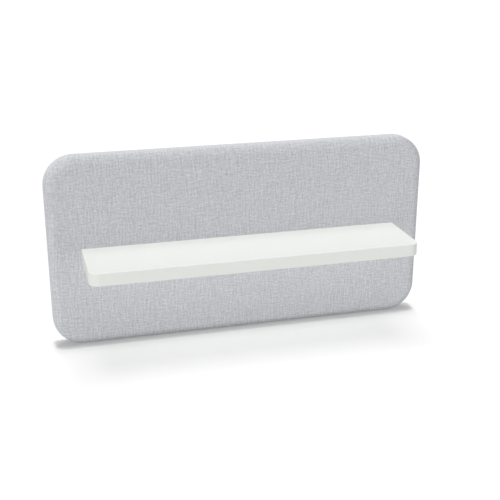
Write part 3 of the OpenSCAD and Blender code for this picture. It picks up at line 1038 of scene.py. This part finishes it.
def dress(finish, *nodes):
    """Gives CAD nodes a finish. Their round faces shade smooth, and their edges stay crisp."""
    for name in nodes:
        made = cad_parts[name]
        made.data.materials.clear()
        made.data.materials.append(finish)
        made.data.polygons.foreach_set("use_smooth", [True] * len(made.data.polygons))
        split = made.modifiers.new("crisp", "EDGE_SPLIT")
        split.split_angle = CRISP


make_camera()
make_world(SKY)

# Finishes

cloth = cloth_material()
pine_x = wood_material("pine_rails", (188, 143, 88), (226, 190, 136), 0)
pine_z = wood_material("pine_stiles", (188, 143, 88), (226, 190, 136), 2)
beech = wood_material("beech_blocks", (176, 128, 84), (214, 172, 124), 0)
laminate = plain_material("white_laminate", (228, 230, 226), 0.45, spread=2, depth=0.00001)
# The edge band has the laminate's own white. Its darker colour is painted shade, for its front gets less
# light than the shelf's top.
band_painted_shade = plain_material("white_edge_band_painted_shade", (216, 218, 214), 0.4, spread=2, depth=0.00001)
alloy = plain_material("aluminium", (200, 202, 205), 0.35, 1.0, spread=8, stretch=(0.03, 1, 1))
steel = plain_material("drawn_steel", (120, 122, 126), 0.4, 1.0, spread=8)
zinc = plain_material("zinc", (180, 182, 185), 0.35, 1.0, spread=8)
brass = plain_material("brass", (205, 168, 92), 0.35, 1.0, spread=8)
rubber = plain_material("rubber", (32, 32, 33), 0.8, spread=5, depth=0.0001)
felt = nonwoven_material()
wadding = fibre_material("wadding", (222, 222, 216), (246, 246, 242), (1.0, 0.4, 1.0))
wool = fibre_material("mineral_fibre", (132, 137, 102), (184, 188, 152), (0.35, 1.0, 1.0))
dress(pine_x, "frame_top_rail", "frame_bottom_rail", "frame_cross_rail")
dress(pine_z, "frame_left_stile", "frame_right_stile")
dress(
    beech, "corner_block_top_left", "corner_block_top_right", "corner_block_bottom_left",
    "corner_block_bottom_right", "frame_dowels",
)
dress(laminate, "shelf_top_laminate", "shelf_bottom_laminate")
dress(band_painted_shade, "shelf_edge_band")
dress(chipboard_material(), "shelf_core")
dress(alloy, "wall_rail", "panel_rail")
dress(steel, "shelf_support_plate", "shelf_support_rods")
dress(zinc, "panel_rail_screws", "shelf_plate_screws", "shelf_lock_screws")
dress(brass, "shelf_lock_inserts")
dress(rubber, "wall_buffers")

# Soft pieces and staples

make_cover(cloth)
make_lining(felt)
make_pad(wadding)
make_slab("upper_slab", "absorber_upper", 1, wool)
make_slab("lower_slab", "absorber_lower", -1, wool)
make_staples(zinc)

floor = add_mesh("floor", [
    (-FLOOR_SIDE, FLOOR_FRONT, FLOOR_Z), (FLOOR_SIDE, FLOOR_FRONT, FLOOR_Z),
    (FLOOR_SIDE, FLOOR_BACK, FLOOR_Z), (-FLOOR_SIDE, FLOOR_BACK, FLOOR_Z),
], [(0, 1, 2, 3)], smooth=False)
floor.data.materials.append(floor_material())

# The object's lamps leave the floor out, and the shelf lets them by, so that it throws no shadow
# on the cloth. The floor's own lamps make its shadow: crisp at the foot, then wider and paler.
shelf_pieces = [made for name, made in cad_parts.items() if name.startswith("shelf_")]
not_floor = lamp_group("not_floor", "EXCLUDE", floor)
only_floor = lamp_group("only_floor", "INCLUDE", floor)
past_shelf = lamp_group("past_shelf", "EXCLUDE", *shelf_pieces)
past_both = lamp_group("past_shelf_and_floor", "EXCLUDE", floor, *shelf_pieces)
object_lamps = [
    ("key", -50, 45, 0.51, 40, past_shelf),
    ("overhead", 0, 88, 0.45, 40, past_shelf),
    ("behind", 180, 30, 0.43, 40, past_shelf),
    ("from_below", 0, -50, 0.222, 60, past_both),
]
floor_lamps = [
    ("floor_edge", 180, 88.7, 0.35, 1.6, past_shelf),
    ("floor_near", 180, 87, 0.31, 7, past_shelf),
    ("floor_far", 180, 60, 0.26, 14, past_shelf),
    ("floor_soft", 0, 90, 0.38, 29, None),
]
for lights, lamps in ((not_floor, object_lamps), (only_floor, floor_lamps)):
    for name, azimuth, elevation, share, spread, shadows in lamps:
        make_lamp(name, azimuth, elevation, share, spread, lights, shadows)

bpy.context.scene.view_settings.view_transform = "Standard"
